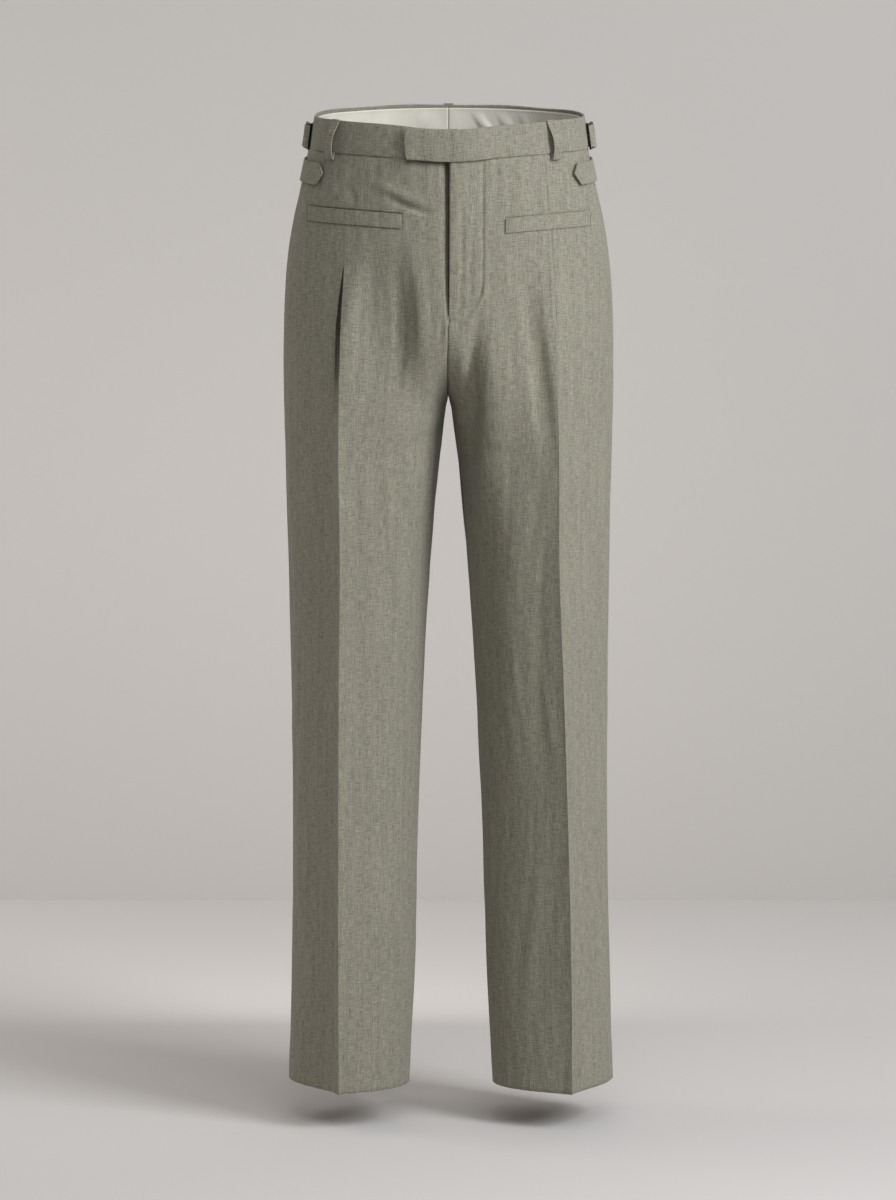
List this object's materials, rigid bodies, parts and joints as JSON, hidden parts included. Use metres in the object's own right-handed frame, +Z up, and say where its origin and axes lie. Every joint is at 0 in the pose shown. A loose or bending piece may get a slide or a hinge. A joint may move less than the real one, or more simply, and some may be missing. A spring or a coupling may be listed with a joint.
{
  "type": "wide-leg dress trousers",
  "caption": "Pleated wide-leg dress trousers with pressed creases, welt pockets, a lapped waistband, belt loops and slide-buckle side adjusters.",
  "frame": {"origin": "middle of the waist, half-way up the waistband", "axes": "+Z up, -Y out of the front, +X towards the wearer's left"},
  "size_m": [0.3735, 0.2714, 1.1036],
  "materials": {
    "front_left": "matt wool suiting, grey-green",
    "back_left": "matt wool suiting, grey-green",
    "waistband_left": "matt wool suiting, grey-green",
    "waistband_lining_left": "smooth pale lining",
    "pocket_welt_left": "matt wool suiting, grey-green",
    "adjuster_strap_left": "matt wool suiting, grey-green",
    "adjuster_buckle_left": "dark metal, satin",
    "adjuster_tab_left": "matt wool suiting, grey-green",
    "front_right": "matt wool suiting, grey-green",
    "back_right": "matt wool suiting, grey-green",
    "waistband_right": "matt wool suiting, grey-green",
    "waistband_lining_right": "smooth pale lining",
    "pocket_welt_right": "matt wool suiting, grey-green",
    "adjuster_strap_right": "matt wool suiting, grey-green",
    "adjuster_buckle_right": "dark metal, satin",
    "adjuster_tab_right": "matt wool suiting, grey-green",
    "fly_underlap": "matt wool suiting, grey-green",
    "belt_loop_front_left": "matt wool suiting, grey-green",
    "belt_loop_front_right": "matt wool suiting, grey-green",
    "belt_loop_back": "matt wool suiting, grey-green"
  },
  "bodies": {
    "root": {"front_left": "front_left", "back_left": "back_left", "waistband_left": "waistband_left", "waistband_lining_left": "waistband_lining_left", "pocket_welt_left": "pocket_welt_left", "adjuster_strap_left": "adjuster_strap_left", "adjuster_buckle_left": "adjuster_buckle_left", "adjuster_tab_left": "adjuster_tab_left", "front_right": "front_right", "back_right": "back_right", "waistband_right": "waistband_right", "waistband_lining_right": "waistband_lining_right", "pocket_welt_right": "pocket_welt_right", "adjuster_strap_right": "adjuster_strap_right", "adjuster_buckle_right": "adjuster_buckle_right", "adjuster_tab_right": "adjuster_tab_right", "fly_underlap": "fly_underlap", "belt_loop_front_left": "belt_loop_front_left", "belt_loop_front_right": "belt_loop_front_right", "belt_loop_back": "belt_loop_back"}
  },
  "joints": []
}
